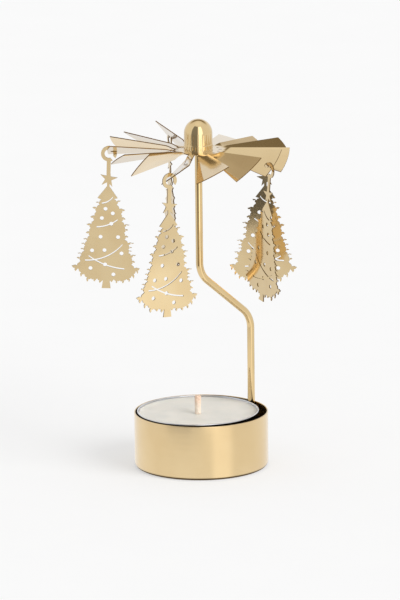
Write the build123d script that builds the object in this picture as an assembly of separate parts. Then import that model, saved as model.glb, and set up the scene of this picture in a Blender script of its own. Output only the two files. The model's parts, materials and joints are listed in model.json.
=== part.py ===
# Candle carousel: a cup holds a tealight, and a bent wire rises out of the cup to a
# point on the centre line. A bladed disc balances on that point under a small dome and
# turns in the warm air, with five sheet fir trees hooked through its blades.
# Origin: centre of the cup's flat underside. +Z up, front of the object towards -Y.
from build123d import *
import math
import os

STAND = (Align.CENTER, Align.CENTER, Align.MIN)

# Tealight
tealight_d = 38.2
tealight_h = 17.5
shell_wall = 0.2
shell_corner = 0.8
rim_roll_w = 0.45
rim_roll_h = 0.6
rim_roll_slant = 0.18
wax_drop = 1.0
wax_shrink = 0.05
wick_d = 2.0
wick_above_wax = 5.7
wick_tip_slant = 0.3
tab_d = 14.0
tab_sheet = 0.25
collar_wall = 0.3
collar_h = 3.0
fit_gap = 0.03

# Wire stem: stands beside the tealight, bends in over it, then runs up the centre line
wire_d = 2.3
stem_azimuth = 35.0
low_bend_z = 45.2
high_bend_z = 61.4
bend_r = 8.0
point_length = 4.0
point_tip_r = 0.1
pivot_gap = 0.1
stem_foot_clear = 0.2

# Braze seam between wire and cup wall
braze_film = 0.1
braze_reach = 1.6
braze_length = 9.0
braze_above_foot = 1.0

# Cup, sized round the tealight and the wire beside it
cup_wall = 0.4
cup_corner = 1.2
tealight_gap = 0.3
rim_stand = 0.5

# Bladed disc
disc_d = 56.6
disc_sheet = 0.3
disc_z = 101.0
blade_count = 15
blade_start = 111.0
slit_w = 0.5
hub_ring_w = 1.7
neck_length = 4.0
root_tab = 0.2
neck_section_shares = (0.0, 0.4, 0.75, 1.0)
hook_hole_d = 2.1
hook_web = 1.0
hook_hole_side = 1.25
blade_per_charm = 3
# each blade is bent by hand, so they differ: the twist about its own line, the droop below the disc,
# and the skew to one side
blade_pitches = (50.0, 35.0, 12.0, 27.0, 16.0, 30.0, 38.0, 35.0, 27.0, 36.0, 46.0, 26.0, 24.0, 34.0, 30.0)
blade_droops = (0.5, 3.0, 6.5, 9.3, 2.0, 6.0, 3.0, 4.0, 6.0, 5.5, -0.5, 0.0, -2.0, -1.0, 0.5)
blade_skews = (0.0, 0.0, 3.5, 5.5, 2.5, -5.0, 0.0, 1.5, 0.0, 0.0, -1.5, -1.5, 0.0, 0.5, 1.0)

# Dome in the middle of the disc
dome_d = 9.1
dome_wall = 0.5
dome_rise = 10.0
dome_bore_gap = 0.05
flange_w = 1.2
flange_sheet = 0.4
crown_bands = 5
crown_land_r = 1.2
dimple_r = 0.45
dimple_depth = 0.2

# Fir tree charms
charm_sheet = 0.35
hook_strip = 1.1
hook_gap = 0.16
hook_slack = 0.75
hook_mouth_angle = -48.0
hook_mouth_w = 1.1
neck_w = 1.25
star_r = 2.85
star_waist_share = 0.36
star_turn = -10.0
star_drop = 8.0
stalk_w = 0.8
apex_drop = 9.9
tree_h = 31.5
tree_half_w = 10.9
notch_depth = 1.25
notch_share = 0.42
hem_notch = 0.95
trunk_w = 2.1
trunk_foot_w = 2.8
trunk_h = 1.6
bauble_d = 1.3
bauble_sides = 8
garland_w = 0.45
# turn of each charm's sheet from its blade's radial line, from the first hooked blade on
charm_turns = (-6.0, -46.0, -27.0, -47.0, -3.0)
# how far from plumb the friction in each hook holds its charm
charm_leans = (0.0, -2.5, -8.0, 1.8, 1.9)

# bough tips down the left and right edges: share of the tree's height, share of its half width
left_tip_shares = (
    (0.135, 0.30), (0.18, 0.345), (0.232, 0.44), (0.33, 0.495), (0.405, 0.595), (0.49, 0.615),
    (0.555, 0.68), (0.60, 0.735), (0.655, 0.755), (0.70, 0.835), (0.745, 0.86), (0.83, 1.0),
)
right_tip_shares = (
    (0.135, 0.275), (0.16, 0.365), (0.255, 0.495), (0.345, 0.515), (0.405, 0.63), (0.455, 0.595),
    (0.525, 0.605), (0.59, 0.77), (0.635, 0.72), (0.67, 0.715), (0.71, 0.83), (0.78, 0.815), (0.845, 0.95),
)
# bough tips along the hem, from left to right
left_hem_shares = ((0.885, -0.89), (0.94, -0.735), (0.99, -0.55), (0.985, -0.34), (1.0, -0.19))
right_hem_shares = ((0.99, 0.15), (1.0, 0.285), (1.0, 0.48), (0.985, 0.66), (0.95, 0.79), (0.90, 0.89))
bauble_shares = (
    (0.245, -0.065), (0.29, 0.145), (0.34, -0.165), (0.395, 0.11), (0.53, -0.19), (0.53, 0.31),
    (0.67, -0.425), (0.665, -0.07), (0.695, 0.42), (0.85, -0.46), (0.81, -0.045), (0.91, 0.20),
)
# garlands: start, middle and end of each drooping slot
garland_shares = (
    ((0.188, -0.175), (0.170, 0.0), (0.125, 0.14)),
    ((0.43, -0.31), (0.41, 0.0), (0.355, 0.285)),
    ((0.77, -0.62), (0.725, 0.0), (0.605, 0.44)),
    ((0.725, -0.52), (0.815, -0.02), (0.852, 0.51)),
)

# Sizes that follow from the ones above
wire_r = wire_d / 2
cup_inner_r = (tealight_d + wire_d + braze_film) / 2 + tealight_gap
cup_h = cup_wall + tealight_h - rim_stand
wire_leg_r = cup_inner_r - braze_film - wire_r
tealight_shift = cup_inner_r - tealight_gap - tealight_d / 2
tealight_x = -tealight_shift * math.cos(math.radians(stem_azimuth))
tealight_y = -tealight_shift * math.sin(math.radians(stem_azimuth))
shell_inner_r = tealight_d / 2 - rim_roll_w
tab_z = cup_wall + shell_wall
wax_top_z = cup_wall + tealight_h - wax_drop
stem_foot_z = cup_wall + cup_corner + stem_foot_clear
dome_top_z = disc_z + dome_rise
dome_r = dome_d / 2
pivot_z = dome_top_z - dome_wall + dimple_depth - pivot_gap
disc_bore_r = dome_r + dome_bore_gap
blade_root_r = disc_bore_r + hub_ring_w
neck_start_r = blade_root_r + root_tab
vane_start_r = blade_root_r + neck_length
blade_step = 360.0 / blade_count
disc_r = disc_d / 2
hook_hole_u = disc_r - hook_web - hook_hole_d / 2


def drawn_cup(outer_r, height, wall, corner):
    """A pressed cup, open at the top, with a bevel round its foot inside and out."""
    outside = Cylinder(outer_r, height, align=STAND)
    outside = chamfer(outside.faces().sort_by(Axis.Z)[0].edges(), corner)
    inside = Pos(0, 0, wall) * Cylinder(outer_r - wall, height, align=STAND)
    inside = chamfer(inside.faces().sort_by(Axis.Z)[0].edges(), corner - wall / 2)
    return outside - inside


def candle_cup():
    return drawn_cup(cup_inner_r + cup_wall, cup_h, cup_wall, cup_corner)


def wire_leg_place():
    """The wire's lower leg: against the cup wall, at its own angle round the cup."""
    turn = math.radians(stem_azimuth)
    return wire_leg_r * math.cos(turn), wire_leg_r * math.sin(turn)


def wire_stem():
    x, y = wire_leg_place()
    taper_z = pivot_z - point_length
    corners = [(x, y, stem_foot_z), (x, y, low_bend_z), (0, 0, high_bend_z), (0, 0, taper_z)]
    with BuildPart() as stem:
        with BuildLine():
            FilletPolyline(*corners, radius=bend_r)
        with BuildSketch(Plane(origin=corners[0], z_dir=(0, 0, 1))):
            Circle(wire_r)
        sweep()
        with Locations((0, 0, taper_z)):
            Cone(wire_r, point_tip_r, point_length, align=STAND)
    return stem.part


def stem_weld():
    """Braze that has run into both corners between the wire and the cup wall."""
    x, y = wire_leg_place()
    turn = math.radians(stem_azimuth)
    wall_x, wall_y = cup_inner_r * math.cos(turn), cup_inner_r * math.sin(turn)
    z = stem_foot_z + braze_above_foot
    run = Pos(wall_x, wall_y, z) * Cylinder(braze_reach, braze_length, align=STAND)
    run &= Pos(0, 0, z) * Cylinder(cup_inner_r, braze_length, align=STAND)
    return run - Pos(x, y, z) * Cylinder(wire_r, braze_length, align=STAND)


def tealight_shell():
    can = drawn_cup(shell_inner_r + shell_wall, tealight_h, shell_wall, shell_corner)
    roll = Cylinder(tealight_d / 2, rim_roll_h, align=STAND)
    roll -= Cylinder(shell_inner_r, rim_roll_h, align=STAND)
    roll = chamfer(roll.edges().group_by(Axis.Z)[-1].sort_by(SortBy.LENGTH)[-1], rim_roll_slant)
    can += Pos(0, 0, tealight_h - rim_roll_h) * roll
    return Pos(tealight_x, tealight_y, cup_wall) * can


def wick_tab(extra=0):
    """Round steel foot with a collar round the wick; extra grows it into its hollow in the wax."""
    collar_bore_r = wick_d / 2 + fit_gap
    foot = Cylinder(tab_d / 2 + extra, tab_sheet + extra, align=STAND)
    foot += Cylinder(collar_bore_r + collar_wall + extra, collar_h + extra, align=STAND)
    foot -= Cylinder(collar_bore_r, collar_h + extra, align=STAND)
    return Pos(tealight_x, tealight_y, tab_z) * foot


def tealight_wax():
    wax_h = wax_top_z - tab_z
    wax_r = shell_inner_r - wax_shrink
    hollow_r = wick_d / 2 + fit_gap
    with BuildPart() as wax:
        with BuildSketch(Plane.XZ):
            with BuildLine():
                foot_r = wax_r - shell_corner
                Polyline(
                    (wax_r, wax_h), (wax_r, shell_corner), (foot_r, 0), (hollow_r, 0),
                    (hollow_r, wax_h), close=True,
                )
            make_face()
        revolve(axis=Axis.Z)
    return Pos(tealight_x, tealight_y, tab_z) * wax.part - wick_tab(fit_gap)


def tealight_wick():
    length = wax_top_z + wick_above_wax - tab_z
    wick = Cylinder(wick_d / 2, length, align=STAND)
    wick = chamfer(wick.faces().sort_by(Axis.Z)[-1].edges(), wick_tip_slant)
    return Pos(tealight_x, tealight_y, tab_z) * wick


def blade_half_width(u):
    """Half the width of a blade at u from the centre, between the slits on its two sides."""
    return u * math.sin(math.radians(blade_step / 2)) - slit_w / 2


def blade_angle(k):
    return blade_start - k * blade_step


def neck_path(k, share):
    """Where the neck of blade k has got to, part of the way from the hub out to the vane."""
    sag_slope = math.tan(math.radians(blade_droops[k % len(blade_droops)])) * share
    stray_slope = math.tan(math.radians(blade_skews[k % len(blade_skews)])) * share
    run = (vane_start_r - neck_start_r) * share
    bent = Pos(neck_start_r + run, stray_slope * run / 2, -sag_slope * run / 2)
    bent *= Rot(0, 0, math.degrees(math.atan(stray_slope)))
    return bent * Rot(0, math.degrees(math.atan(sag_slope)), 0)


def blade_place(k):
    """Where the flat vane of blade k goes, from along +X in the disc's own plane."""
    pitch = blade_pitches[k % len(blade_pitches)]
    return neck_path(k, 1) * Rot(pitch, 0, 0) * Pos(-vane_start_r, 0, 0)


def neck_section(k, share):
    """Cross-section of the twisted neck of blade k, part of the way out to the vane."""
    twist = blade_pitches[k % len(blade_pitches)] * share * share * (3 - 2 * share)
    u = neck_start_r + (vane_start_r - neck_start_r) * share
    outline = Plane.YZ * Rectangle(2 * blade_half_width(u), disc_sheet)
    return neck_path(k, share) * Rot(twist, 0, 0) * outline


def blade(k):
    """One blade along +X: a flat vane on a twisted neck, from a short tab on the hub ring."""
    tab_in_ring = hub_ring_w / 2
    tab = Box(
        tab_in_ring + root_tab, 2 * blade_half_width(neck_start_r), disc_sheet,
        align=(Align.MIN, Align.CENTER, Align.CENTER),
    )
    tip_turn = math.asin(blade_half_width(disc_r) / disc_r)
    tip_u, tip_w = disc_r * math.cos(tip_turn), disc_r * math.sin(tip_turn)
    root_w = blade_half_width(vane_start_r)
    with BuildPart() as vane:
        with BuildSketch(Plane.XY):
            with BuildLine():
                Polyline((tip_u, tip_w), (vane_start_r, root_w), (vane_start_r, -root_w), (tip_u, -tip_w))
                ThreePointArc((tip_u, -tip_w), (disc_r, 0), (tip_u, tip_w))
            make_face()
        extrude(amount=disc_sheet / 2, both=True)
    neck = loft([neck_section(k, share) for share in neck_section_shares])
    return Pos(blade_root_r - tab_in_ring, 0, 0) * tab + neck + blade_place(k) * vane.part


def hooked_blades():
    return [n * blade_per_charm for n in range(blade_count // blade_per_charm)]


def blade_disc():
    disc = Cylinder(blade_root_r, disc_sheet) - Cylinder(disc_bore_r, disc_sheet)
    disc = disc + [Rot(0, 0, blade_angle(k)) * blade(k) for k in range(blade_count)]
    drill = Pos(hook_hole_u, -hook_hole_side, 0) * Cylinder(hook_hole_d / 2, disc_sheet * 2)
    for k in hooked_blades():
        disc -= Rot(0, 0, blade_angle(k)) * blade_place(k) * drill
    return Pos(0, 0, disc_z) * disc


def hub_cap():
    """Dome through the disc's bore, with a flange under the disc and a dimple for the point."""
    flange_top = -disc_sheet / 2
    tube_bottom = flange_top - flange_sheet
    with BuildPart() as cap:
        with BuildSketch(Plane.XZ):
            with BuildLine():
                shoulder = dome_rise - dome_r
                turns = [math.pi / 2 * n / crown_bands for n in range(crown_bands + 1)]
                crown = [(dome_r * math.sin(a), shoulder + dome_r * math.cos(a)) for a in turns]
                foot_r = dome_r + flange_w
                inner_r = dome_r - dome_wall
                Polyline(
                    *crown, (dome_r, flange_top), (foot_r, flange_top),
                    (foot_r, tube_bottom), (inner_r, tube_bottom), (inner_r, shoulder),
                    (crown_land_r, dome_rise - dome_wall), (0, dome_rise - dome_wall), close=True,
                )
            make_face()
        revolve(axis=Axis.Z)
        with Locations((0, 0, dome_rise - dome_wall - dimple_depth)):
            Cone(2 * dimple_r, 0, 2 * dimple_depth, align=STAND, mode=Mode.SUBTRACT)
    return Pos(0, 0, disc_z) * cap.part


def crossing(k, turn):
    """The line where a charm's upright sheet crosses blade k, and the way up the sheet square to that line.

    The blade lies along +X, the sheet is turned from it, and the third result is square to the sheet."""
    blade_normal = Plane(blade_place(k)).z_dir
    level = Vector(1, 0, 0).rotate(Axis.Z, turn)
    line = (level * blade_normal.Z - Vector(0, 0, level.dot(blade_normal))).normalized()
    through = Vector(0, 0, 1).cross(level)
    return line, line.cross(through), through


def web_half_span(k, turn):
    """Half the stretch of blade, along the sheet, between the hook hole and the blade's tip edge."""
    flat = Plane(blade_place(k))
    line = crossing(k, turn)[0]
    towards = hook_hole_u * line.dot(flat.x_dir) - hook_hole_side * line.dot(flat.y_dir)
    reach = math.sqrt(towards ** 2 + disc_r ** 2 - hook_hole_u ** 2 - hook_hole_side ** 2) - towards
    return (reach - hook_hole_d / 2) / 2


def web_half_depth(k, turn):
    """Half the height that a tilted blade takes up inside the thickness of a charm's sheet."""
    normal = Plane(blade_place(k)).z_dir
    line, up, through = crossing(k, turn)
    return (disc_sheet / 2 + abs(through.dot(normal)) * charm_sheet / 2) / abs(up.dot(normal))


# The hook's bore goes round the longest stretch of blade that any of the five crosses
hook_bore_r = hook_gap + math.hypot(
    max(web_half_span(k, turn) for k, turn in zip(hooked_blades(), charm_turns)), hook_slack
)
hook_r = hook_bore_r + hook_strip


def hook_centre(k, turn):
    """Where a hook's ring is centred: the blade's web hangs as a chord in the top of its bore."""
    line, up, through = crossing(k, turn)
    half_span = web_half_span(k, turn)
    below = math.sqrt((hook_bore_r - hook_gap) ** 2 - half_span ** 2) - web_half_depth(k, turn)
    hole = (blade_place(k) * Pos(hook_hole_u, -hook_hole_side, 0)).position
    centre = hole + line * (hook_hole_d / 2 + half_span) - up * below
    return centre.rotate(Axis.Z, blade_angle(k)) + Vector(0, 0, disc_z)


def tree_point(down_share, side_share):
    """A point of the tree in the charm's sheet, whose zero is the middle of the hook ring."""
    return side_share * tree_half_w, -apex_drop - down_share * tree_h


def bough_edge(tips, side):
    """Down one edge of the tree: a bough tip, then the notch under it, and so on."""
    points = []
    for (down, reach), (next_down, next_reach) in zip(tips, tips[1:]):
        points.append(tree_point(down, side * reach))
        notch_reach = min(reach, next_reach) - notch_depth / tree_half_w
        points.append(tree_point(down + (next_down - down) * notch_share, side * notch_reach))
    points.append(tree_point(tips[-1][0], side * tips[-1][1]))
    return points


def hem_edge(tips):
    """Along the tree's hem: a bough tip, then the notch beside it, and so on."""
    points = []
    for (down, across), (next_down, next_across) in zip(tips, tips[1:]):
        points.append(tree_point(down, across))
        notch_down = min(down, next_down) - hem_notch / tree_h
        points.append(tree_point(notch_down, (across + next_across) / 2))
    points.append(tree_point(*tips[-1]))
    return points


def tree_outline():
    hem_left = hem_edge(left_hem_shares)
    hem_right = hem_edge(right_hem_shares)
    top_y = -apex_drop - tree_h + hem_notch
    foot_y = -apex_drop - tree_h - trunk_h
    trunk = [
        (-trunk_w / 2, top_y), (-trunk_foot_w / 2, foot_y),
        (trunk_foot_w / 2, foot_y), (trunk_w / 2, top_y),
    ]
    left = bough_edge(left_tip_shares, -1)
    right = bough_edge(right_tip_shares, 1)
    return [tree_point(0, 0)] + left + hem_left + trunk + hem_right + right[::-1]


def star_outline():
    points = []
    for k in range(10):
        r = star_r if k % 2 == 0 else star_r * star_waist_share
        turn = math.radians(90 + star_turn + k * 36)
        points.append((r * math.cos(turn), -star_drop + r * math.sin(turn)))
    return points


def garland_edge(start, middle, end, lift):
    """Three points of one edge of a drooping slot, lifted from its middle line."""
    return [(x, y + lift) for x, y in (tree_point(*place) for place in (start, middle, end))]


def tree_charm():
    """Flat stamped fir tree in the XZ plane, hung plumb from the middle of its hook ring."""
    with BuildSketch(Plane.XZ) as blank:
        Circle(hook_r)
        Circle(hook_bore_r, mode=Mode.SUBTRACT)
        with Locations(Rot(0, 0, hook_mouth_angle)):
            Rectangle(hook_r, hook_mouth_w, align=(Align.MIN, Align.CENTER), mode=Mode.SUBTRACT)
        neck_h = star_drop - hook_bore_r - hook_strip / 2
        with Locations((0, -star_drop)):
            Rectangle(neck_w, neck_h, align=(Align.CENTER, Align.MIN))
        with BuildLine():
            Polyline(*star_outline(), close=True)
        make_face()
        with BuildLine():
            Polyline(*tree_outline(), close=True)
        make_face()
        with Locations((0, -star_drop)):
            Rectangle(stalk_w, apex_drop - star_drop + stalk_w, align=(Align.CENTER, Align.MAX))
        with Locations(*[tree_point(*place) for place in bauble_shares]):
            RegularPolygon(bauble_d / 2, bauble_sides, mode=Mode.SUBTRACT)
        for start, middle, end in garland_shares:
            with BuildLine():
                upper = ThreePointArc(*garland_edge(start, middle, end, garland_w / 2))
                lower = ThreePointArc(*garland_edge(start, middle, end, -garland_w / 2))
                Line(upper @ 0, lower @ 0)
                Line(upper @ 1, lower @ 1)
            make_face(mode=Mode.SUBTRACT)
    sheet = extrude(blank.sketch, amount=charm_sheet / 2, both=True)
    balance = sheet.center(CenterOf.MASS)
    plumb = math.degrees(math.atan2(balance.X, -balance.Z))
    return Rot(0, plumb, 0) * sheet


def save(name, shape):
    export_step(shape, f"parts/{name}.step")


os.makedirs("parts", exist_ok=True)
save("candle_cup", candle_cup())
save("wire_stem", wire_stem())
save("stem_weld", stem_weld())
save("tealight_shell", tealight_shell())
save("tealight_wax", tealight_wax())
save("tealight_wick", tealight_wick())
save("wick_tab", wick_tab())
save("blade_disc", blade_disc())
save("hub_cap", hub_cap())
charm = tree_charm()
for number, (k, turn, lean) in enumerate(zip(hooked_blades(), charm_turns, charm_leans), start=1):
    centre = hook_centre(k, turn)
    facing = blade_angle(k) + turn + 180
    save(f"tree_charm_{number}", Pos(*centre) * Rot(0, 0, facing) * Rot(0, lean, 0) * charm)
    print(f"tree_charm_{number} hook centre", [round(c, 4) for c in centre], "turned", facing % 360)
print("pivot height", round(pivot_z, 4))
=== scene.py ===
import bpy
import bmesh
import json
import math
import numpy as np
from mathutils import Matrix, Vector
from mathutils.bvhtree import BVHTree
from mathutils.geometry import delaunay_2d_cdt


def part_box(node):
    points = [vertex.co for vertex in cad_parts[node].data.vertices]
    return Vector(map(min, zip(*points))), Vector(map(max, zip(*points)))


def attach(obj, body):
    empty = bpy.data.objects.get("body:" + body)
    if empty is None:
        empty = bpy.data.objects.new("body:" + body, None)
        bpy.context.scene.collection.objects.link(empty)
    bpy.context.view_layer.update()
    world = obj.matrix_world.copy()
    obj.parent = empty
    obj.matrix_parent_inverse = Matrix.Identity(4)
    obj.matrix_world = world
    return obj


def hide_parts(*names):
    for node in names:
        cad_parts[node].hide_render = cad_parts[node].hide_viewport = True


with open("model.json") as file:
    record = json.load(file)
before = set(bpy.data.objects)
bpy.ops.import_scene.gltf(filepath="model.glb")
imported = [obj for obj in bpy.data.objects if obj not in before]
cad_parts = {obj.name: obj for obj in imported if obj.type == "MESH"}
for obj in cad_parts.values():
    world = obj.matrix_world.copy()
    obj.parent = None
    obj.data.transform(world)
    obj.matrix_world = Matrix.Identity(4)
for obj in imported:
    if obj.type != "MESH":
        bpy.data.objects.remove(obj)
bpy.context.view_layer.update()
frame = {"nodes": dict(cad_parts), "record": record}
nodes = frame["nodes"]
mm = 0.001


print("frame loaded:", len(nodes), "nodes")


# camera: looks down at the object from the front, a pinhole far enough off for a long lens
cameraSet = {
    "distance": 2.5,
    "lookDown": math.radians(13.449),
    "roll": math.radians(-0.6046),
    "target": Vector((0.0000233, 0, 0.0530787)),
    "lens": 479.884,
    "sensor": 36,
    "clip": (0.05, 200),
}


def makeCamera(c):
    # the camera's own axes: back along its line of sight, then right and up turned by the roll
    back = Vector((0, -math.cos(c["lookDown"]), math.sin(c["lookDown"])))
    up = Vector((0, math.sin(c["lookDown"]), math.cos(c["lookDown"])))
    right = Vector((1, 0, 0))
    rolledRight = right * math.cos(c["roll"]) + up * math.sin(c["roll"])
    rolledUp = up * math.cos(c["roll"]) - right * math.sin(c["roll"])
    lens = bpy.data.cameras.new("camera")
    lens.lens = c["lens"]
    lens.sensor_width = c["sensor"]
    lens.clip_start, lens.clip_end = c["clip"]
    camera = bpy.data.objects.new("camera", lens)
    axes = Matrix((rolledRight, rolledUp, back)).transposed()
    camera.matrix_world = Matrix.Translation(c["target"] + back * c["distance"]) @ axes.to_4x4()
    bpy.context.scene.collection.objects.link(camera)
    bpy.context.scene.camera = camera


makeCamera(cameraSet)
print("camera placed")


# node helpers

def newMaterial(name):
    material = bpy.data.materials.new(name)
    material.use_nodes = True
    tree = material.node_tree
    return material, tree, tree.nodes["Principled BSDF"]


def addNode(tree, kind, **settings):
    node = tree.nodes.new(kind)
    for key, value in settings.items():
        setattr(node, key, value)
    return node


def calc(tree, operation, *values):
    node = addNode(tree, "ShaderNodeMath", operation=operation)
    for slot, value in zip(node.inputs, values):
        if hasattr(value, "is_linked"):
            tree.links.new(value, slot)
        else:
            slot.default_value = value
    return node.outputs[0]


def between(tree, value, low, high, outLow=0.0, outHigh=1.0, smooth=True):
    node = addNode(tree, "ShaderNodeMapRange", interpolation_type="SMOOTHSTEP" if smooth else "LINEAR")
    tree.links.new(value, node.inputs[0])
    for slot, number in zip(node.inputs[1:5], (low, high, outLow, outHigh)):
        slot.default_value = number
    return node.outputs[0]


def mixColours(tree, factor, first, second):
    node = addNode(tree, "ShaderNodeMix", data_type="RGBA")
    for slot, value in ((node.inputs[0], factor), (node.inputs[6], first), (node.inputs[7], second)):
        if hasattr(value, "is_linked"):
            tree.links.new(value, slot)
        else:
            slot.default_value = value
    return node.outputs[2]


def grain(tree, scale, stretch=(1, 1, 1), detail=3, roughness=0.5):
    # noise on the piece's own coordinates, in repeats per metre, stretched along chosen axes
    place = addNode(tree, "ShaderNodeTexCoord")
    mapping = addNode(tree, "ShaderNodeMapping")
    mapping.inputs["Scale"].default_value = stretch
    noise = addNode(tree, "ShaderNodeTexNoise")
    noise.inputs["Scale"].default_value = scale
    noise.inputs["Detail"].default_value = detail
    noise.inputs["Roughness"].default_value = roughness
    tree.links.new(place.outputs["Object"], mapping.inputs["Vector"])
    tree.links.new(mapping.outputs[0], noise.inputs["Vector"])
    return noise.outputs["Fac"]


def addBump(tree, shader, height, distance, strength=1.0):
    bump = addNode(tree, "ShaderNodeBump")
    bump.inputs["Strength"].default_value = strength
    bump.inputs["Distance"].default_value = distance
    tree.links.new(height, bump.inputs["Height"])
    if shader.inputs["Normal"].is_linked:
        tree.links.new(shader.inputs["Normal"].links[0].from_socket, bump.inputs["Normal"])
    tree.links.new(bump.outputs[0], shader.inputs["Normal"])


def rgb(red, green, blue):
    # a colour as it looks on screen, out of 255, turned into the linear numbers a shader takes
    def linear(v):
        v = v / 255
        return v / 12.92 if v <= 0.04045 else ((v + 0.055) / 1.055) ** 2.4
    return (linear(red), linear(green), linear(blue), 1)


# metals: colour drifts a little over the sheet, roughness and bump follow the way it was rolled or drawn
# drift, lines and dents are in repeats per metre, heights and sag in metres
# a metal's last colour is painted shade: the dark brown of its cut edges and of the cup's inside
metals = {
    "cupBrass": {
        "tones": (rgb(231, 205, 158), rgb(225, 197, 148)), "drift": 60, "rough": (0.19, 0.25),
        "lines": 900, "stretch": (0.05, 0.05, 1), "lineHeight": 0.000002, "dents": 120, "dentHeight": 0.000008,
        "drawn": 0.3, "lacquer": 0.5, "sag": 0, "paintedEdgeShade": rgb(104, 78, 42)},
    "stemBrass": {
        "tones": (rgb(228, 200, 148), rgb(220, 190, 136)), "drift": 90, "rough": (0.04, 0.08),
        "lines": 2500, "stretch": (1, 1, 0.02), "lineHeight": 0.0000006, "dents": 200, "dentHeight": 0.000003,
        "drawn": 0, "lacquer": 0.6, "sag": 0, "paintedEdgeShade": None},
    "domeBrass": {
        "tones": (rgb(229, 202, 150), rgb(221, 192, 140)), "drift": 120, "rough": (0.06, 0.1),
        "lines": 2500, "stretch": (0.05, 0.05, 1), "lineHeight": 0.0000004, "dents": 260, "dentHeight": 0.000004,
        "drawn": 0, "lacquer": 0.6, "sag": 0, "paintedEdgeShade": None},
    "bladeBrass": {
        "tones": (rgb(229, 203, 153), rgb(222, 194, 143)), "drift": 70, "rough": (0.08, 0.14),
        "lines": 3000, "stretch": (1, 0.03, 1), "lineHeight": 0.0000006, "dents": 130, "dentHeight": 0.00002,
        "drawn": 0, "lacquer": 1, "sag": 0.0013, "paintedEdgeShade": rgb(136, 102, 56)},
    "charmBrass": {
        "tones": (rgb(231, 207, 160), rgb(224, 197, 148)), "drift": 90, "rough": (0.04, 0.08),
        "lines": 5200, "stretch": (1, 1, 1), "lineHeight": 0.000003, "dents": 160, "dentHeight": 0.000006,
        "drawn": 0, "lacquer": 0.8, "sag": 0.0002, "paintedEdgeShade": rgb(120, 92, 50)},
    "brazeBrass": {
        "tones": (rgb(176, 140, 84), rgb(140, 104, 60)), "drift": 700, "rough": (0.35, 0.6),
        "lines": 1500, "stretch": (1, 1, 1), "lineHeight": 0.00004, "dents": 500, "dentHeight": 0.00006,
        "drawn": 0, "lacquer": 0, "sag": 0, "paintedEdgeShade": None},
    "foil": {
        "tones": (rgb(232, 233, 236), rgb(214, 216, 221)), "drift": 150, "rough": (0.14, 0.24),
        "lines": 1200, "stretch": (0.05, 0.05, 1), "lineHeight": 0.000003, "dents": 350, "dentHeight": 0.00002,
        "drawn": 0, "lacquer": 0, "sag": 0, "paintedEdgeShade": None},
    "tabSteel": {
        "tones": (rgb(170, 171, 174), rgb(150, 151, 154)), "drift": 200, "rough": (0.3, 0.42),
        "lines": 1500, "stretch": (1, 0.05, 1), "lineHeight": 0.000004, "dents": 200, "dentHeight": 0.00001,
        "drawn": 0, "lacquer": 0, "sag": 0, "paintedEdgeShade": None},
}
# what all the metals share: the noise's spans, the bare edge's extra roughness, the lacquer and the rest
metalShared = {"driftSpan": (0.3, 0.7), "lineSpan": (0.25, 0.75), "lineDetail": 4, "lineRoughness": 0.6,
               "bareRough": 0.4, "lacquerRough": 0.06, "sagSize": 28, "ringTurn": 0.25}


def makeMetal(name):
    m, shared = metals[name], metalShared
    material, tree, shader = newMaterial(name)
    shader.inputs["Metallic"].default_value = 1
    drift = between(tree, grain(tree, m["drift"]), *shared["driftSpan"])
    tree.links.new(mixColours(tree, drift, *m["tones"]), shader.inputs["Base Color"])
    lines = grain(tree, m["lines"], m["stretch"], shared["lineDetail"], shared["lineRoughness"])
    rough = between(tree, lines, *shared["lineSpan"], *m["rough"], smooth=False)
    tree.links.new(rough, shader.inputs["Roughness"])
    if m["drawn"] > 0:
        # drawing leaves fine rings round the wall, which smear a reflection up and down
        shader.inputs["Anisotropic"].default_value = m["drawn"]
        shader.inputs["Anisotropic Rotation"].default_value = shared["ringTurn"]
        rings = addNode(tree, "ShaderNodeTangent", direction_type="RADIAL", axis="Z")
        tree.links.new(rings.outputs[0], shader.inputs["Tangent"])
    if m["paintedEdgeShade"]:
        # a cut edge, and the inside of the cup, is bare: duller and without lacquer; its dark brown colour is
        # painted shade, for the dark these faces mirror
        edge = addNode(tree, "ShaderNodeAttribute", attribute_name="bareFaceAndPaintedShade").outputs["Fac"]
        sheet = shader.inputs["Base Color"].links[0].from_socket
        tree.links.new(mixColours(tree, edge, sheet, m["paintedEdgeShade"]), shader.inputs["Base Color"])
        extra = calc(tree, "MULTIPLY", edge, shared["bareRough"])
        tree.links.new(calc(tree, "ADD", rough, extra), shader.inputs["Roughness"])
        tree.links.new(between(tree, edge, 0, 1, m["lacquer"], 0), shader.inputs["Coat Weight"])
    else:
        shader.inputs["Coat Weight"].default_value = m["lacquer"]
    shader.inputs["Coat Roughness"].default_value = shared["lacquerRough"]
    if m["sag"] > 0:
        addBump(tree, shader, grain(tree, shared["sagSize"], detail=0), m["sag"])
    addBump(tree, shader, grain(tree, m["dents"], detail=1), m["dentHeight"])
    addBump(tree, shader, lines, m["lineHeight"])
    return material


waxFinish = {"cloudSize": 130, "tones": (rgb(233, 229, 220), rgb(224, 222, 214)), "rough": 0.42,
             "scatter": 0.35, "scatterReach": 0.002, "scatterTint": (1.0, 0.95, 0.85),
             "pits": 420, "pitHeight": 0.00003}


def makeWax(f):
    material, tree, shader = newMaterial("paraffin")
    cloud = between(tree, grain(tree, f["cloudSize"], detail=5), 0.35, 0.7)
    tree.links.new(mixColours(tree, cloud, *f["tones"]), shader.inputs["Base Color"])
    shader.inputs["Roughness"].default_value = f["rough"]
    shader.inputs["Subsurface Weight"].default_value = f["scatter"]
    shader.inputs["Subsurface Radius"].default_value = f["scatterTint"]
    shader.inputs["Subsurface Scale"].default_value = f["scatterReach"]
    addBump(tree, shader, grain(tree, f["pits"]), f["pitHeight"])
    return material


cottonFinish = {"yarnsRound": 4, "yarnsUp": 150.0, "yarnTones": (rgb(226, 192, 166), rgb(239, 210, 187)),
                "soaked": rgb(240, 224, 206), "soakedFrom": (0.8, 0.97), "rough": (0.4, 0.85),
                "yarnHeight": 0.00004, "fluff": 6000, "fluffHeight": 0.00002}


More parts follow.
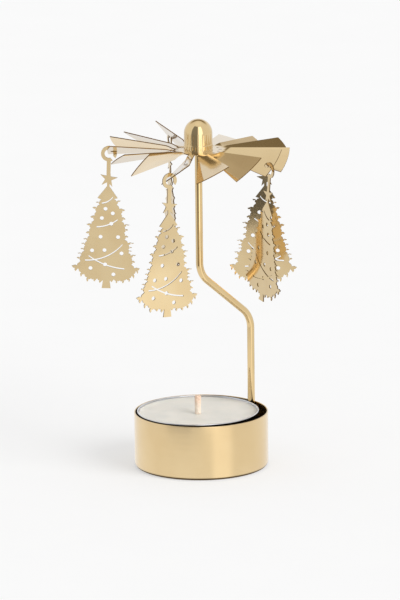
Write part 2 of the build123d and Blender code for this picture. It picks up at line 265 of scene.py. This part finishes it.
def makeCotton(f):
    # two sets of slanting yarns, from the wick's own map: u round it, v up it; wax soaks it nearly to its tip
    material, tree, shader = newMaterial("cottonBraid")
    place = addNode(tree, "ShaderNodeUVMap", uv_map="wrap")
    parts = addNode(tree, "ShaderNodeSeparateXYZ")
    tree.links.new(place.outputs[0], parts.inputs[0])
    around = calc(tree, "MULTIPLY", parts.outputs[0], f["yarnsRound"] * 2 * math.pi)
    along = calc(tree, "MULTIPLY", parts.outputs[1], f["yarnsUp"])
    left = calc(tree, "SINE", calc(tree, "ADD", around, along))
    right = calc(tree, "SINE", calc(tree, "SUBTRACT", around, along))
    yarn = calc(tree, "MAXIMUM", left, right)
    dry = between(tree, parts.outputs[1], *f["soakedFrom"])
    cotton = mixColours(tree, between(tree, yarn, -0.4, 0.9), *f["yarnTones"])
    tree.links.new(mixColours(tree, dry, f["soaked"], cotton), shader.inputs["Base Color"])
    tree.links.new(between(tree, dry, 0.0, 1.0, *f["rough"]), shader.inputs["Roughness"])
    addBump(tree, shader, yarn, f["yarnHeight"])
    addBump(tree, shader, grain(tree, f["fluff"], detail=2), f["fluffHeight"])
    return material


slotMaterials = {
    "cup_brass": makeMetal("cupBrass"),
    "wire_brass": makeMetal("stemBrass"),
    "braze": makeMetal("brazeBrass"),
    "aluminium_foil": makeMetal("foil"),
    "wax": makeWax(waxFinish),
    "wick": makeCotton(cottonFinish),
    "tab_steel": makeMetal("tabSteel"),
    "sheet_brass": makeMetal("bladeBrass"),
    "dome_brass": makeMetal("domeBrass"),
    "charm_brass": makeMetal("charmBrass"),
}
print("materials made:", len(slotMaterials))


def dressNodes():
    # each node takes the finish of its slot; its loose triangles keep every edge sharp
    for subpart in frame["record"]["subparts"]:
        piece = nodes[subpart["node"]]
        piece.data.materials.clear()
        piece.data.materials.append(slotMaterials[subpart["material_slot"]])
        piece.data.shade_smooth()


dressNodes()
print("nodes dressed")


# surfaces

def gridPiece(name, points, closeAround=True, closeAlong=False):
    # a grid of points becomes one skin of quads; rows run along the first index and around the second
    rows, columns = points.shape[:2]
    index = np.arange(rows * columns).reshape(rows, columns)
    if closeAlong:
        index = np.vstack([index, index[:1]])
    if closeAround:
        index = np.hstack([index, index[:, :1]])
    quads = np.stack([index[:-1, :-1], index[:-1, 1:], index[1:, 1:], index[1:, :-1]], axis=-1).reshape(-1, 4)
    mesh = bpy.data.meshes.new(name)
    mesh.from_pydata(points.reshape(-1, 3).tolist(), [], quads.tolist())
    mesh.validate()
    cleaner = bmesh.new()
    cleaner.from_mesh(mesh)
    bmesh.ops.remove_doubles(cleaner, verts=cleaner.verts, dist=0.000001)
    bmesh.ops.recalc_face_normals(cleaner, faces=cleaner.faces)
    cleaner.to_mesh(mesh)
    cleaner.free()
    mesh.shade_smooth()
    piece = bpy.data.objects.new(name, mesh)
    bpy.context.scene.collection.objects.link(piece)
    return piece


def softCorners(corners, radii, steps=8):
    # a run of straight lines, each corner swapped for an arc of its radius between its two tangent points:
    # arc = middle + (start * sin((1 - share) * turn) + end * sin(share * turn)) / sin(turn)
    line = []
    for number, (corner, radius) in enumerate(zip(corners, radii)):
        corner = np.array(corner, float)
        if radius == 0:
            line.append(corner)
            continue
        before = np.array(corners[number - 1], float) - corner
        after = np.array(corners[(number + 1) % len(corners)], float) - corner
        before /= np.linalg.norm(before)
        after /= np.linalg.norm(after)
        bend = math.acos(np.clip(np.dot(before, after), -1, 1))
        reach = radius / math.tan(bend / 2)
        middle = corner + (before + after) / np.linalg.norm(before + after) * radius / math.sin(bend / 2)
        start = corner + before * reach - middle
        end = corner + after * reach - middle
        turn = math.pi - bend
        for share in np.linspace(0, 1, steps + 1):
            weight = np.array([math.sin((1 - share) * turn), math.sin(share * turn)]) / math.sin(turn)
            line.append(middle + start * weight[0] + end * weight[1])
    return np.array(line)


def spunPiece(name, profile, centre, segments=192, closeAlong=True):
    # a profile of radius and height turned once round an upright line through the centre
    turn = np.linspace(0, 2 * np.pi, segments, endpoint=False)
    radius, height = profile[:, :1], profile[:, 1:]
    points = np.stack([centre[0] + radius * np.cos(turn), centre[1] + radius * np.sin(turn),
                       height + 0 * turn], axis=-1)
    return gridPiece(name, points, closeAlong=closeAlong)


def finishPiece(piece, slot, body, *replaced):
    piece.data.materials.append(slotMaterials[slot])
    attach(piece, body)
    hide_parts(*replaced)


def placesOf(piece):
    place = np.empty(len(piece.data.vertices) * 3)
    piece.data.vertices.foreach_get("co", place)
    return place.reshape(-1, 3)


def middleOf(node):
    low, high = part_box(node)
    return (low + high) / 2, (high - low) / 2


# the drawn cup, with its rounded foot and the softened lip that the press leaves
cupSet = {"wall": 0.4 * mm, "footRadius": 1.5 * mm, "lipRadius": 0.16 * mm,
          "insideShare": 0.6, "floorShare": 0.5}


def makeCup(c):
    low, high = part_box("candle_cup")
    radius, height = high.x, high.z
    inner = radius - c["wall"]
    corners = [(0, 0), (radius, 0), (radius, height), (inner, height), (inner, c["wall"]), (0, c["wall"])]
    radii = [0, c["footRadius"], c["lipRadius"], c["lipRadius"], c["footRadius"] - c["wall"], 0]
    cup = spunPiece("cupShell", softCorners(corners, radii), (0, 0), closeAlong=False)
    # the inside is bare metal, and takes the painted shade of the cut edges: vertices past a share of the wall's
    # thickness, above a share of the floor's and below the lip
    place = placesOf(cup)
    inside = np.hypot(place[:, 0], place[:, 1]) < radius - c["insideShare"] * c["wall"]
    inside &= (place[:, 2] > c["floorShare"] * c["wall"]) & (place[:, 2] < height - c["lipRadius"])
    cup.data.attributes.new("bareFaceAndPaintedShade", "FLOAT", "POINT").data.foreach_set("value", inside.astype(float))
    finishPiece(cup, "cup_brass", "holder", "candle_cup")


makeCup(cupSet)


# the foil cup of the candle, its edge rolled outwards
foilSet = {"wall": 0.2 * mm, "footRadius": 0.9 * mm, "rollRadius": 0.22 * mm, "gapToWax": 0.05 * mm,
           "rollTurn": (-0.5 * np.pi, 1.35 * np.pi)}


def makeFoil(c):
    middle, half = middleOf("tealight_shell")
    low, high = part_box("tealight_shell")
    rollMiddle = half.x - c["rollRadius"]
    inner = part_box("tealight_wax")[1].x - middle.x + c["gapToWax"]
    outer = inner + c["wall"]
    rollHeight = high.z - c["rollRadius"]
    turn = np.linspace(*c["rollTurn"], 22)
    roll = np.stack([rollMiddle + c["rollRadius"] * np.cos(turn),
                     rollHeight + c["rollRadius"] * np.sin(turn)], -1)
    start = softCorners([(0, low.z), (outer, low.z), (outer, roll[0][1])], [0, c["footRadius"], 0])
    end = softCorners([(inner, roll[-1][1]), (inner, low.z + c["wall"]), (0, low.z + c["wall"])],
                      [0, c["footRadius"] - c["wall"], 0])
    profile = np.vstack([start, roll, end])
    foil = spunPiece("foilCup", profile, middle, closeAlong=False)
    finishPiece(foil, "aluminium_foil", "tealight", "tealight_shell")


makeFoil(foilSet)


# the wax: it climbs the foil as it sets and dips a little round the wick
waxSet = {"climb": 0.55 * mm, "climbWidth": 0.9 * mm, "dip": 0.15 * mm, "dipWidth": 3 * mm,
          "footRadius": 0.8 * mm, "ripple": 0.04 * mm, "gapToWick": 0.03 * mm}


def makeWaxBody(c):
    middle, half = middleOf("tealight_wax")
    low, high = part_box("tealight_wax")
    wick = middleOf("tealight_wick")[1].x + c["gapToWick"]
    radius = np.linspace(half.x, wick, 60)
    # height = level + climb * e^(-gap to foil / width) - dip * e^(-(gap to wick / width) squared)
    level = high.z
    height = level + c["climb"] * np.exp(-(half.x - radius) / c["climbWidth"])
    height -= c["dip"] * np.exp(-((radius - wick) / c["dipWidth"]) ** 2)
    foot = softCorners([(wick, low.z), (half.x, low.z), (half.x, height[0])], [0, c["footRadius"], 0])
    profile = np.vstack([foot, np.stack([radius, height], -1)[1:]])
    turn = np.linspace(0, 2 * np.pi, 144, endpoint=False)
    r, z = profile[:, :1], profile[:, 1:]
    # ripples, on the flat part of the top alone = two crossed waves that turn and spread from the middle
    top = (z > level - c["dip"] * 1.5) & (r < half.x - c["climbWidth"])
    wave = c["ripple"] * np.sin(3 * turn + 700 * r) * np.cos(2 * turn - 400 * r) * top
    points = np.stack([middle.x + r * np.cos(turn), middle.y + r * np.sin(turn), z + wave], axis=-1)
    wax = gridPiece("waxBody", points, closeAlong=True)
    finishPiece(wax, "wax", "tealight", "tealight_wax")


makeWaxBody(waxSet)


# the wick: braided cotton, cut off a little ragged
wickSet = {"yarnHeight": 0.06 * mm, "strands": 3, "turns": 9, "tipRadius": 0.35 * mm, "tipDraw": 0.45,
           "fray": 0.12 * mm, "frays": 5}


def makeWick(c):
    middle, half = middleOf("tealight_wick")
    low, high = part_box("tealight_wick")
    turn = np.linspace(0, 2 * np.pi, 48, endpoint=False)
    up = np.linspace(0, 1, 150)[:, None]
    # radius = yarn ridges where two opposite helices of strands cross, drawn in at the tip
    ridge = np.maximum(np.sin(c["strands"] * turn + 2 * np.pi * c["turns"] * up),
                       np.sin(c["strands"] * turn - 2 * np.pi * c["turns"] * up))
    radius = half.x - c["yarnHeight"] + c["yarnHeight"] * ridge
    fromTip = (1 - up) * (high.z - low.z)
    draw = np.clip(1 - fromTip / c["tipRadius"], 0, 1)
    radius = radius * np.sqrt(1 - c["tipDraw"] * draw ** 2)
    height = low.z + up * (high.z - low.z) - draw * c["fray"] * (1 + np.sin(c["frays"] * turn + 1))
    points = np.stack([middle.x + radius * np.cos(turn), middle.y + radius * np.sin(turn),
                       height + 0 * turn], -1)
    foot = points[:1] * 0 + np.array([middle.x, middle.y, low.z])
    tip = points[-1:] * 0 + np.array([middle.x, middle.y, high.z - c["fray"]])
    points = np.concatenate([foot, points, tip])
    wick = gridPiece("wickBraid", points)
    wrap = wick.data.uv_layers.new(name="wrap")
    corner = np.empty(len(wick.data.loops), int)
    wick.data.loops.foreach_get("vertex_index", corner)
    place = placesOf(wick)[corner]
    around = np.arctan2(place[:, 1] - middle.y, place[:, 0] - middle.x) / (2 * np.pi) + 0.5
    along = (place[:, 2] - low.z) / (high.z - low.z)
    wrap.data.foreach_set("uv", np.stack([around, along], -1).ravel())
    finishPiece(wick, "wick", "tealight", "tealight_wick")


makeWick(wickSet)


# the wire: two bends of one radius, its foot rounded off and its top ground to a point
stemSet = {"radius": 1.15 * mm, "lowBend": 45.2 * mm, "highBend": 61.4 * mm, "bendRadius": 8 * mm,
           "pointLength": 4 * mm, "tipRadius": 0.1 * mm, "pointSwell": 0.9,
           "heelHeight": 0.3 * mm, "heelWidth": 0.7, "around": 40}


def makeStem(c):
    low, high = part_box("wire_stem")
    foot = np.array([high.x - c["radius"], high.y - c["radius"], 0])
    corners = [foot + [0, 0, low.z], foot + [0, 0, c["lowBend"]], (0, 0, c["highBend"]), (0, 0, high.z)]
    line = softCorners(corners, [0, c["bendRadius"], c["bendRadius"], 0], steps=24)
    shares = np.linspace(0, 1, 12)[1:]
    point = line[-1] - np.outer(1 - shares, (0, 0, c["pointLength"]))
    heel = line[0] + np.outer(1 - np.cos(shares * np.pi / 2), (0, 0, c["heelHeight"]))
    line = np.vstack([line[:1], heel, line[1:-1], line[-1] - [0, 0, c["pointLength"]], point])
    radius = np.full(len(line), c["radius"])
    radius[0] = 0
    radius[1:12] = c["radius"] * (c["heelWidth"] + (1 - c["heelWidth"]) * np.sin(shares * np.pi / 2))
    # the ground point swells very slightly on its way down to full thickness
    radius[-11:] = c["tipRadius"] + (c["radius"] - c["tipRadius"]) * (1 - shares) ** c["pointSwell"]
    # skin = line + radius * (cos(turn) * side + sin(turn) * across), round the line's own direction
    run = np.gradient(line, axis=0)
    run /= np.linalg.norm(run, axis=1)[:, None]
    side = np.array([-foot[1], foot[0], 0]) / np.linalg.norm(foot)
    across = np.cross(run, side)
    turn = np.linspace(0, 2 * np.pi, c["around"], endpoint=False)[None, :, None]
    ring = np.cos(turn) * side + np.sin(turn) * across[:, None]
    points = line[:, None] + ring * radius[:, None, None]
    points = np.concatenate([points, points[-1:] * 0 + line[-1]])
    stem = gridPiece("stemWire", points)
    finishPiece(stem, "wire_brass", "holder", "wire_stem")


makeStem(stemSet)


# the dome: a drawn cap on a low collar, with its flange under the bladed sheet and a dimple for the point
domeSet = {"wall": 0.5 * mm, "collarHeight": 2.3 * mm, "collarStep": 0.1 * mm, "collarRadius": 0.25 * mm,
           "flangeWidth": 1.2 * mm, "flangeSheet": 0.4 * mm, "edgeRadius": 0.12 * mm,
           "dimpleRadius": 0.45 * mm, "dimpleDepth": 0.2 * mm}


def makeDome(c):
    low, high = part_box("hub_cap")
    outer = high.x - c["flangeWidth"]
    inner = outer - c["wall"]
    shoulder = high.z - outer
    flangeTop = low.z + c["flangeSheet"]
    collar = flangeTop + c["collarHeight"]
    wall = outer - c["collarStep"]
    arc = np.linspace(0, np.pi / 2, 40)
    crown = np.stack([wall * np.sin(arc), shoulder + outer * np.cos(arc)], -1)
    corners = [crown[-1], (wall, collar), (outer, collar - c["collarStep"]), (outer, flangeTop),
               (high.x, flangeTop), (high.x, low.z), (inner, low.z), (inner, shoulder)]
    step, edge = c["collarRadius"], c["edgeRadius"]
    body = softCorners(corners, [0, step, step, edge, edge, edge, edge, 0])
    ceiling = np.stack([inner * np.sin(arc[::-1]), shoulder + inner * np.cos(arc[::-1])], -1)
    # dimple = a cone of its depth within its radius of the centre line
    ceiling[:, 1] += c["dimpleDepth"] * np.clip(1 - ceiling[:, 0] / c["dimpleRadius"], 0, 1)
    dome = spunPiece("domeCap", np.vstack([crown[:-1], body, ceiling[1:]]), (0, 0), 160, closeAlong=False)
    finishPiece(dome, "dome_brass", "rotor", "hub_cap")


makeDome(domeSet)


# the bladed sheet: its own form, with smooth twists, crisp cut edges and those edges marked as bare and for
# painted shade
sheetSet = {"sharp": math.radians(32), "flat": math.radians(0.4), "joined": 0.0005 * mm,
            "thickest": 0.42 * mm}


def makeBladedSheet(c):
    mesh = nodes["blade_disc"].data.copy()
    mesh.name = "bladedSheet"
    mesh.materials.clear()
    cleaner = bmesh.new()
    cleaner.from_mesh(mesh)
    bmesh.ops.remove_doubles(cleaner, verts=cleaner.verts, dist=c["joined"])
    bmesh.ops.dissolve_limit(cleaner, angle_limit=c["flat"], verts=cleaner.verts, edges=cleaner.edges)
    bmesh.ops.triangulate(cleaner, faces=cleaner.faces)
    cleaner.normal_update()
    # a face with more metal behind it than the sheet is thick is a cut one
    solid = BVHTree.FromBMesh(cleaner)
    cut = []
    for face in cleaner.faces:
        start = face.calc_center_median() - face.normal * c["joined"]
        found, facing, number, depth = solid.ray_cast(start, -face.normal)
        cut.append(1.0 if depth is None or depth > c["thickest"] else 0.0)
    cleaner.to_mesh(mesh)
    cleaner.free()
    mesh.shade_smooth()
    mesh.set_sharp_from_angle(angle=c["sharp"])
    # the cut faces take the bare finish and a painted shade, the dark brown of the edges
    mesh.attributes.new("bareFaceAndPaintedShade", "FLOAT", "FACE").data.foreach_set("value", cut)
    sheet = bpy.data.objects.new("bladedSheet", mesh)
    bpy.context.scene.collection.objects.link(sheet)
    finishPiece(sheet, "sheet_brass", "rotor", "blade_disc")
    print("bladedSheet cut faces:", int(sum(cut)), "of", len(cut))


makeBladedSheet(sheetSet)


# the charms: the trees' own outlines with each bough's edges drawn in, so that its tip hooks upwards
# edges longer than "notched" get a bite too, except near one of the inner cuts
charmSet = {"below": 17 * mm, "above": 1.5 * mm, "trunkHalf": 2 * mm, "shortest": 0.8 * mm,
            "upperBow": 0.07, "lowerBow": 0.02,
            "notched": 1.35 * mm, "notch": 0.5 * mm, "notchAt": 0.47, "notchHalf": 0.12, "clear": 0.6 * mm,
            "steps": (0.15, 0.3, 0.4, 0.47, 0.54, 0.64, 0.8, 0.9), "faceOn": 0.9, "welded": 0.0001}


def outlinesOf(c, node):
    # loops of points round one broad face of a flat sheet, in its own plane: sideways and upwards
    cleaner = bmesh.new()
    cleaner.from_mesh(nodes[node].data)
    bmesh.ops.remove_doubles(cleaner, verts=cleaner.verts, dist=sheetSet["joined"])
    cleaner.normal_update()
    spread = np.zeros((3, 3))
    for face in cleaner.faces:
        spread += face.calc_area() * np.outer(face.normal, face.normal)
    facing = Vector(np.linalg.eigh(spread)[1][:, 2])
    facing.z = 0
    facing.normalize()
    side = Vector((0, 0, 1)).cross(facing)
    onward = {}
    for face in cleaner.faces:
        if face.normal.dot(facing) < c["faceOn"]:
            continue
        for corner in face.loops:
            if any(other.normal.dot(facing) < c["faceOn"] for other in corner.edge.link_faces):
                onward[corner.vert] = corner.link_loop_next.vert
    depths = [v.co.dot(facing) for v in cleaner.verts]
    loops = []
    while onward:
        first = next(iter(onward))
        line, vertex = [], first
        while vertex in onward:
            line.append((vertex.co.dot(side), vertex.co.z))
            vertex = onward.pop(vertex)
        loops.append(np.array(line))
    cleaner.free()
    return loops, side, facing, min(depths), max(depths)


def drawIn(c, line, others):
    # the outline with points added along its edges, set inwards by the bow and the bite
    low, high = line[:, 1].min(), line[:, 1].max()
    middle = (line[:, 0].min() + line[:, 0].max()) / 2
    drawn = []
    for start, end in zip(line, np.roll(line, -1, axis=0)):
        drawn.append(start)
        run = end - start
        length = np.hypot(*run)
        height = (start[1] + end[1]) / 2
        out = max(abs(start[0] - middle), abs(end[0] - middle))
        onTree = low + c["above"] < height < high - c["below"] and out >= c["trunkHalf"]
        if length < c["shortest"] or not onTree:
            continue
        inward = np.array([-run[1], run[0]]) / length
        bow = (c["upperBow"] if inward[1] < 0 else c["lowerBow"]) * length
        bite = start + run * c["notchAt"] + inward * c["notch"]
        room = np.hypot(*(others - bite).T).min() > c["clear"]
        for share in c["steps"]:
            # depth = 4 * bow * share * (1 - share), with a bite out of the middle of a long edge
            depth = 4 * bow * share * (1 - share)
            if length > c["notched"] and room:
                depth += c["notch"] * max(0, 1 - abs(share - c["notchAt"]) / c["notchHalf"])
            drawn.append(start + run * share + inward * depth)
    return np.array(drawn)


def crossOf(first, second):
    return first[:, 0] * second[:, 1] - first[:, 1] * second[:, 0]


def fillOutlines(c, loops):
    # triangles between all the points, kept where a line to the right of their middle crosses the loops an
    # odd number of times
    start = np.vstack(loops)
    end = np.vstack([np.roll(line, -1, axis=0) for line in loops])
    rings = np.split(np.arange(len(start)), np.cumsum([len(line) for line in loops])[:-1])
    edges = np.vstack([np.stack([ring, np.roll(ring, -1)], -1) for ring in rings])
    spots, _, faces, *_ = delaunay_2d_cdt([Vector(spot) for spot in start / mm], edges.tolist(), [],
                                          0, c["welded"])
    spots, triangles = np.array([tuple(spot) for spot in spots]) * mm, np.array(faces)
    middle = spots[triangles].mean(axis=1)[:, None]
    spans = (start[:, 1] > middle[..., 1]) != (end[:, 1] > middle[..., 1])
    climb = np.where(end[:, 1] == start[:, 1], 1, end[:, 1] - start[:, 1])
    crossing = start[:, 0] + (middle[..., 1] - start[:, 1]) * (end[:, 0] - start[:, 0]) / climb
    inside = (spans & (crossing > middle[..., 0])).sum(axis=1) % 2 == 1
    triangles = triangles[inside]
    # area inside a loop = half the sum of its points' cross products; the cuts' come out negative
    outlined = abs(crossOf(start, end).sum()) / 2
    first, second, third = (spots[triangles[:, corner]] for corner in range(3))
    filled = np.abs(crossOf(second - first, third - first)).sum() / 2
    # the rim = the sides that no second triangle runs along the other way
    sides = np.vstack([triangles[:, [0, 1]], triangles[:, [1, 2]], triangles[:, [2, 0]]])
    rim = sides[~np.isin(sides @ [len(spots), 1], sides @ [1, len(spots)])]
    return spots, triangles, rim, filled / outlined


def makeCharm(c, node, name):
    loops, side, facing, back, front = outlinesOf(c, node)
    loops.sort(key=lambda line: np.ptp(line[:, 1]), reverse=True)
    loops[0] = drawIn(c, loops[0], np.vstack(loops[1:]))
    spots, triangles, rim, share = fillOutlines(c, loops)
    count = len(spots)
    flat = spots[:, :1] * np.array(side) + spots[:, 1:] * np.array([0, 0, 1])
    points = np.vstack([flat + np.array(facing) * back, flat + np.array(facing) * front])
    faces = triangles.tolist() + (triangles[:, ::-1] + count).tolist()
    faces += np.hstack([rim[:, ::-1], rim + count]).tolist()
    mesh = bpy.data.meshes.new(name)
    mesh.from_pydata(points.tolist(), [], faces)
    # the rim's faces are the cut edges: bare, and given painted shade, a dark brown
    bare = np.arange(len(faces)) >= 2 * len(triangles)
    mesh.attributes.new("bareFaceAndPaintedShade", "FLOAT", "FACE").data.foreach_set("value", bare.astype(float))
    cleaner = bmesh.new()
    cleaner.from_mesh(mesh)
    bmesh.ops.recalc_face_normals(cleaner, faces=cleaner.faces)
    cleaner.to_mesh(mesh)
    cleaner.free()
    charm = bpy.data.objects.new(name, mesh)
    bpy.context.scene.collection.objects.link(charm)
    finishPiece(charm, "charm_brass", node, node)
    print(name, "outlines:", len(loops), "points:", count, "share filled:", round(share, 4))


for number in range(1, 6):
    makeCharm(charmSet, f"tree_charm_{number}", f"treeCharm{number}")
print("pieces made: cup, foil, wax, wick, stem, dome, stamped sheets")


# floor, studio and light
studio = {
    "floorHalf": 6.0,
    "floorColour": rgb(249, 249, 249),
    "paper": 0.97,
    "paperGlow": 0.52,
    "fill": 0.67,
    "key": 2.3,
    "keySpread": math.radians(44),
    "keyTurn": math.radians(52),
    "keyHeight": math.radians(27),
    "cupView": (0.6 * mm, -11.9 * mm),
    "around": 0.88,
    "near": 1.03,
    "paintedFootShade": 0.35,
    "footEdge": (0.0195, 0.0225),
    "nearEdge": (0.1, 0.14),
    "speckSize": 40,
    "speckDepth": 0.01,
}

# what shiny metal sees of the studio: its bearing from the front, height, half sizes and soft edge, all in
# degrees, and its level
panels = [
    {"turn": -30, "wide": 24, "height": 20, "tall": 40, "soft": 4, "level": 0.27},
    {"turn": 20, "wide": 13, "height": 18, "tall": 38, "soft": 7, "level": 1.9},
    {"turn": 176, "wide": 22, "height": 43, "tall": 2, "soft": 16, "sideSoft": 46, "level": 0.22,
     "tone": (1, 0.82, 0.52, 1)},
    {"turn": 0, "wide": 180, "height": 84, "tall": 10, "soft": 8, "level": 0.95},
]
# painted reflections, seen only by shiny metal: the same flags and light box as they lie mirrored in the paper,
# each from its own distance on, in metres
paintedReflections = [
    {"turn": 75, "wide": 35, "from": 0.1, "till": 0.2, "soft": 10, "level": 0.98},
    {"turn": 36, "wide": 9, "from": 0.02, "till": 0.022, "soft": 16, "level": 1.28, "paintedCupHighlight": True},
    {"turn": -37, "wide": 18, "from": 0.14, "till": 0.165, "soft": 4, "level": 0.2},
    {"turn": -32, "wide": 22.6, "from": 0.296, "till": 0.3, "soft": 1, "level": 0.13},
    {"turn": -32, "wide": 22.6, "from": 0.36, "till": 0.365, "soft": 1.5, "level": 0.3},
    {"turn": -32, "wide": 22.6, "from": 0.385, "till": 0.39, "soft": 1.5, "level": 0.15},
    {"turn": -31, "wide": 23.5, "from": 0.415, "till": 0.42, "soft": 3, "level": 0.27},
    {"turn": 22, "wide": 13, "from": 0.14, "till": 0.165, "soft": 7, "level": 1.35},
    {"turn": 22, "wide": 13, "from": 0.42, "till": 0.43, "soft": 7, "level": 2},
    {"turn": 42, "wide": 10, "from": 0.3, "till": 0.33, "soft": 5, "level": 0.95},
]


def bearingOf(tree, x, y):
    # degrees round from the front, which is -Y, towards +X
    return calc(tree, "MULTIPLY", calc(tree, "ARCTAN2", x, calc(tree, "MULTIPLY", y, -1.0)), 180 / math.pi)


def sideways(tree, bearing, panel):
    # 1 inside the panel's half width of its own bearing, fading to 0 over its soft edge
    turned = calc(tree, "WRAP", calc(tree, "SUBTRACT", bearing, panel["turn"]), 180.0, -180.0)
    away = calc(tree, "ABSOLUTE", turned)
    return between(tree, away, panel["wide"], panel["wide"] + panel.get("sideSoft", panel["soft"]), 1, 0)


def layOver(tree, level, panelLevel, cover):
    change = calc(tree, "SUBTRACT", panelLevel, level)
    return calc(tree, "ADD", level, calc(tree, "MULTIPLY", change, cover))


def makeFloor(s):
    half = s["floorHalf"]
    mesh = bpy.data.meshes.new("floor")
    corners = [(-half, -half, 0), (half, -half, 0), (half, half, 0), (-half, half, 0)]
    mesh.from_pydata(corners, [], [(0, 1, 2, 3)])
    floor = bpy.data.objects.new("floor", mesh)
    bpy.context.scene.collection.objects.link(floor)
    material, tree, shader = newMaterial("paperSweep")
    speck = between(tree, grain(tree, s["speckSize"], detail=2), 0.3, 0.7)
    pale, dark = s["paper"], s["paper"] - s["speckDepth"]
    tone = mixColours(tree, speck, (pale, pale, pale, 1), (dark, dark, dark, 1))
    tree.links.new(tone, shader.inputs["Base Color"])
    shader.inputs["Roughness"].default_value = 1
    shader.inputs["Specular IOR Level"].default_value = 0
    place = addNode(tree, "ShaderNodeTexCoord")
    parts = addNode(tree, "ShaderNodeSeparateXYZ")
    tree.links.new(place.outputs["Object"], parts.inputs[0])
    x, y = parts.outputs[0], parts.outputs[1]
    squares = calc(tree, "ADD", calc(tree, "MULTIPLY", x, x), calc(tree, "MULTIPLY", y, y))
    radius = calc(tree, "SQRT", squares)
    bearing = bearingOf(tree, x, y)
    # the round cup spreads what it mirrors as if seen from one point behind its wall; the streak laid out from
    # that point paints the highlight on the cup
    cupX, cupY = s["cupView"]
    cupBearing = bearingOf(tree, calc(tree, "SUBTRACT", x, cupX), calc(tree, "SUBTRACT", y, cupY))
    # what shiny metal sees of the paper: painted shade right under the foot, which shows as a dark line at the
    # cup's foot, bright close by, as bright as the studio further out
    close = between(tree, radius, *s["footEdge"], s["paintedFootShade"], s["near"])
    level = calc(tree, "ADD", close, between(tree, radius, *s["nearEdge"], 0, s["around"] - s["near"]))
    for panel in paintedReflections:
        reach = between(tree, radius, panel["from"], panel["till"])
        cover = sideways(tree, cupBearing if "paintedCupHighlight" in panel else bearing, panel)
        level = layOver(tree, level, panel["level"], calc(tree, "MULTIPLY", cover, reach))
    # the paper glows evenly white to the camera; to shiny metal it glows with the painted reflections and
    # painted shade laid out above
    rays = addNode(tree, "ShaderNodeLightPath")
    camera, glossy = rays.outputs["Is Camera Ray"], rays.outputs["Is Glossy Ray"]
    glow = addNode(tree, "ShaderNodeEmission")
    glow.inputs["Color"].default_value = s["floorColour"]
    tree.links.new(calc(tree, "ADD", camera, calc(tree, "MULTIPLY", glossy, level)), glow.inputs["Strength"])
    share = calc(tree, "ADD", calc(tree, "MULTIPLY", camera, s["paperGlow"]), glossy)
    surface = addNode(tree, "ShaderNodeMixShader")
    tree.links.new(share, surface.inputs[0])
    tree.links.new(shader.outputs[0], surface.inputs[1])
    tree.links.new(glow.outputs[0], surface.inputs[2])
    tree.links.new(surface.outputs[0], tree.nodes["Material Output"].inputs["Surface"])
    mesh.materials.append(material)


def makeWorld(s):
    world = bpy.data.worlds.new("studio")
    world.use_nodes = True
    bpy.context.scene.world = world
    tree = world.node_tree
    tree.nodes.clear()
    place = addNode(tree, "ShaderNodeTexCoord")
    parts = addNode(tree, "ShaderNodeSeparateXYZ")
    tree.links.new(place.outputs["Generated"], parts.inputs[0])
    bearing = bearingOf(tree, parts.outputs[0], parts.outputs[1])
    height = calc(tree, "MULTIPLY", calc(tree, "ARCSINE", parts.outputs[2]), 180 / math.pi)
    level = s["around"]
    tone = (1, 1, 1, 1)
    for panel in panels:
        above = calc(tree, "ABSOLUTE", calc(tree, "SUBTRACT", height, panel["height"]))
        upright = between(tree, above, panel["tall"], panel["tall"] + panel["soft"], 1, 0)
        cover = calc(tree, "MULTIPLY", sideways(tree, bearing, panel), upright)
        level = layOver(tree, level, panel["level"], cover)
        tone = mixColours(tree, cover, tone, panel.get("tone", (1, 1, 1, 1)))
    backdrop = addNode(tree, "ShaderNodeBackground")
    backdrop.inputs["Color"].default_value = s["floorColour"]
    fill = addNode(tree, "ShaderNodeBackground")
    fill.inputs["Color"].default_value = (1, 1, 1, 1)
    fill.inputs["Strength"].default_value = s["fill"]
    mirror = addNode(tree, "ShaderNodeBackground")
    tree.links.new(tone, mirror.inputs["Color"])
    tree.links.new(level, mirror.inputs["Strength"])
    rays = addNode(tree, "ShaderNodeLightPath")
    lit = addNode(tree, "ShaderNodeMixShader")
    tree.links.new(rays.outputs["Is Glossy Ray"], lit.inputs[0])
    tree.links.new(fill.outputs[0], lit.inputs[1])
    tree.links.new(mirror.outputs[0], lit.inputs[2])
    seen = addNode(tree, "ShaderNodeMixShader")
    tree.links.new(rays.outputs["Is Camera Ray"], seen.inputs[0])
    tree.links.new(lit.outputs[0], seen.inputs[1])
    tree.links.new(backdrop.outputs[0], seen.inputs[2])
    output = addNode(tree, "ShaderNodeOutputWorld")
    tree.links.new(seen.outputs[0], output.inputs[0])


def makeKey(s):
    light = bpy.data.lights.new("key", "SUN")
    light.energy = s["key"]
    light.angle = s["keySpread"]
    lamp = bpy.data.objects.new("key", light)
    # a lamp shines down its own -Z, so its +Z is aimed at the place the light comes from
    towards = Vector((math.sin(s["keyTurn"]) * math.cos(s["keyHeight"]),
                      -math.cos(s["keyTurn"]) * math.cos(s["keyHeight"]), math.sin(s["keyHeight"])))
    lamp.rotation_euler = towards.to_track_quat("Z", "Y").to_euler()
    lamp.visible_glossy = False
    bpy.context.scene.collection.objects.link(lamp)


makeFloor(studio)
makeWorld(studio)
makeKey(studio)
bpy.context.scene.view_settings.view_transform = "Standard"
print("studio lit")
